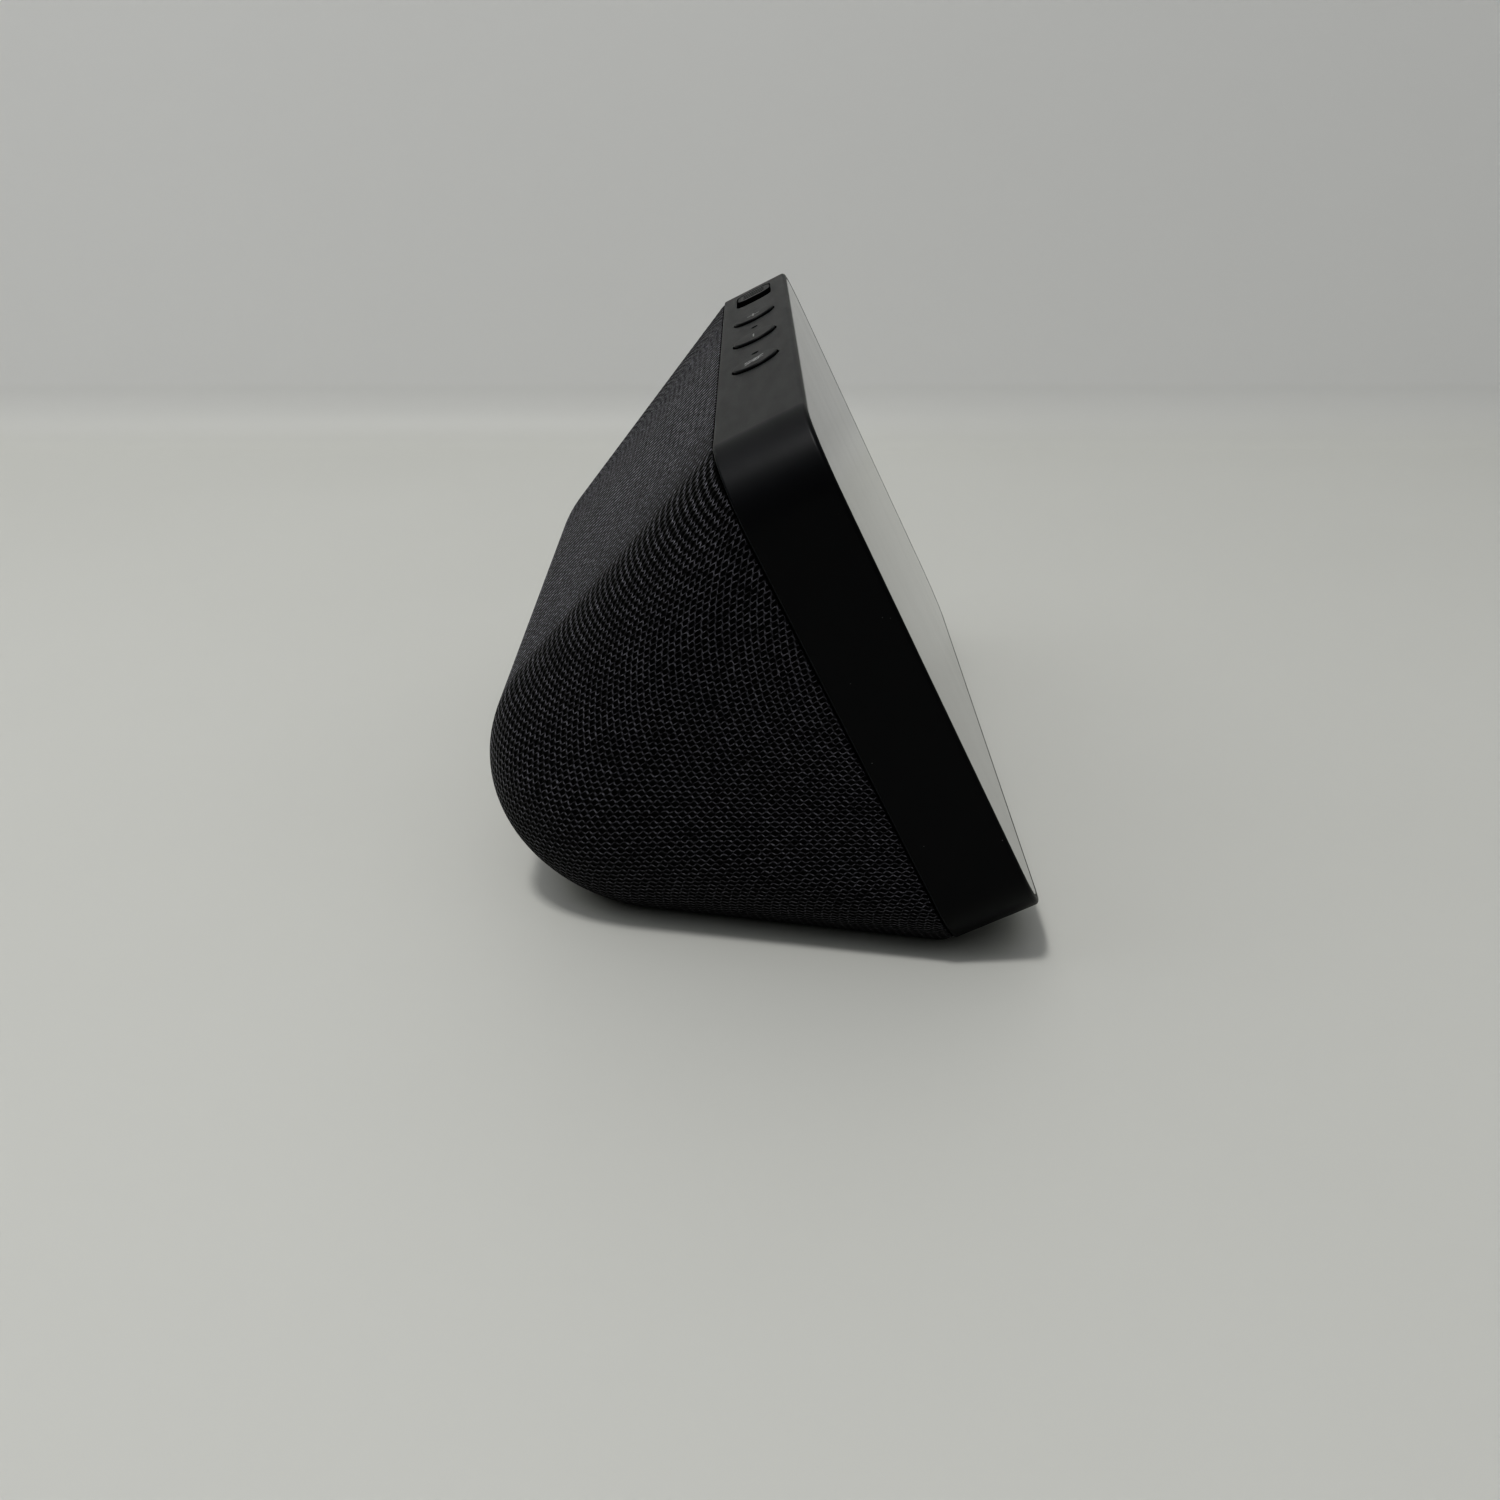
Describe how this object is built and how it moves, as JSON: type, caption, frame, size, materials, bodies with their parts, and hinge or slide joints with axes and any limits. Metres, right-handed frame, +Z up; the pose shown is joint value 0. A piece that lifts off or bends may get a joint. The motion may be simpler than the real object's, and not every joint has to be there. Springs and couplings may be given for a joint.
{
  "type": "smart speaker",
  "caption": "Compact tabletop smart speaker: leaning glass touch display in a plastic frame, tapered knit-covered body behind it, shutter slider and buttons on top.",
  "frame": {"origin": "middle of the footprint box, on the surface that the speaker stands on", "axes": "+Z up; the display faces -Y and leans back towards +Y; +X is the right-hand end as seen when facing the display"},
  "size_m": [0.147, 0.0866, 0.0841],
  "materials": {
    "frame_plastic": "fine satin texture",
    "inner_plastic": "plain moulded",
    "cover_glass": "polished, black printed border",
    "lcd": "dark switched-off screen",
    "lens": "coated",
    "clear_plastic": "clear",
    "white_plastic": "plain",
    "chip_black": "plain",
    "jack_plastic": "polished",
    "knit_fabric": "charcoal melange knit",
    "rubber": "matte",
    "foam_black": "closed-cell foam",
    "plated_steel": "plated",
    "dark_steel": "dark coated",
    "aluminium_sheet": "satin",
    "brass_contact": "bright",
    "circuit_board": "solder mask",
    "amber_film": "polyimide film",
    "cone_paper": "pressed paper"
  },
  "bodies": {
    "housing": {"backlight_diffuser": "white_plastic", "backlight_tray": "plated_steel", "base_plate": "inner_plastic", "base_screw_1": "plated_steel", "base_screw_2": "plated_steel", "base_screw_3": "plated_steel", "base_screw_4": "plated_steel", "button_board": "circuit_board", "camera_board": "circuit_board", "camera_body": "frame_plastic", "camera_lens": "lens", "chassis_screw_1": "plated_steel", "chassis_screw_2": "plated_steel", "chassis_screw_3": "plated_steel", "chassis_screw_4": "plated_steel", "cover_glass": "cover_glass", "display_frame": "frame_plastic", "display_ribbon": "amber_film", "fabric_cover": "knit_fabric", "glass_adhesive": "foam_black", "heat_spreader": "aluminium_sheet", "inner_chassis": "inner_plastic", "jack_pin": "brass_contact", "lcd_panel": "lcd", "light_pipe": "clear_plastic", "light_sensor": "chip_black", "main_board": "circuit_board", "mic_boot_left": "rubber", "mic_boot_right": "rubber", "mic_off_switch": "plated_steel", "microphone_left": "brass_contact", "microphone_right": "brass_contact", "pole_plate": "plated_steel", "power_connector": "white_plastic", "power_jack": "jack_plastic", "power_lead": "rubber", "rear_shell": "inner_plastic", "rubber_foot": "rubber", "shield_can": "plated_steel", "socket_board": "circuit_board", "socket_housing": "frame_plastic", "speaker_basket": "dark_steel", "speaker_chamber": "inner_plastic", "speaker_connector": "white_plastic", "speaker_gasket": "foam_black", "speaker_lead": "rubber", "speaker_magnet": "dark_steel", "speaker_surround": "rubber", "speaker_yoke": "plated_steel", "volume_down_switch": "plated_steel", "volume_up_switch": "plated_steel", "wifi_antenna_left": "amber_film", "wifi_antenna_right": "amber_film"},
    "mic_off_button": {"mic_off_button": "frame_plastic"},
    "volume_down_button": {"volume_down_button": "frame_plastic"},
    "volume_up_button": {"volume_up_button": "frame_plastic"},
    "shutter": {"shutter_knob": "frame_plastic", "shutter_blade": "white_plastic"},
    "speaker_cone": {"speaker_cone": "cone_paper", "voice_coil": "brass_contact"}
  },
  "joints": [
    {"name": "mic_off_button_press", "type": "slide", "parent": "housing", "child": "mic_off_button", "axis": [0, -0.4415, -0.8973], "range_m": [0, 0.0004], "stiffness_N_per_m": 1500, "springref_m": -0.0004},
    {"name": "volume_down_button_press", "type": "slide", "parent": "housing", "child": "volume_down_button", "axis": [0, -0.4415, -0.8973], "range_m": [0, 0.0004], "stiffness_N_per_m": 1500, "springref_m": -0.0004},
    {"name": "volume_up_button_press", "type": "slide", "parent": "housing", "child": "volume_up_button", "axis": [0, -0.4415, -0.8973], "range_m": [0, 0.0004], "stiffness_N_per_m": 1500, "springref_m": -0.0004},
    {"name": "shutter_slide", "type": "slide", "parent": "housing", "child": "shutter", "axis": [1, 0, 0], "range_m": [-0.0068, 0]},
    {"name": "cone_excursion", "type": "slide", "parent": "housing", "child": "speaker_cone", "axis": [0, 0.9397, 0.342], "range_m": [-0.001, 0.001], "stiffness_N_per_m": 1800}
  ]
}
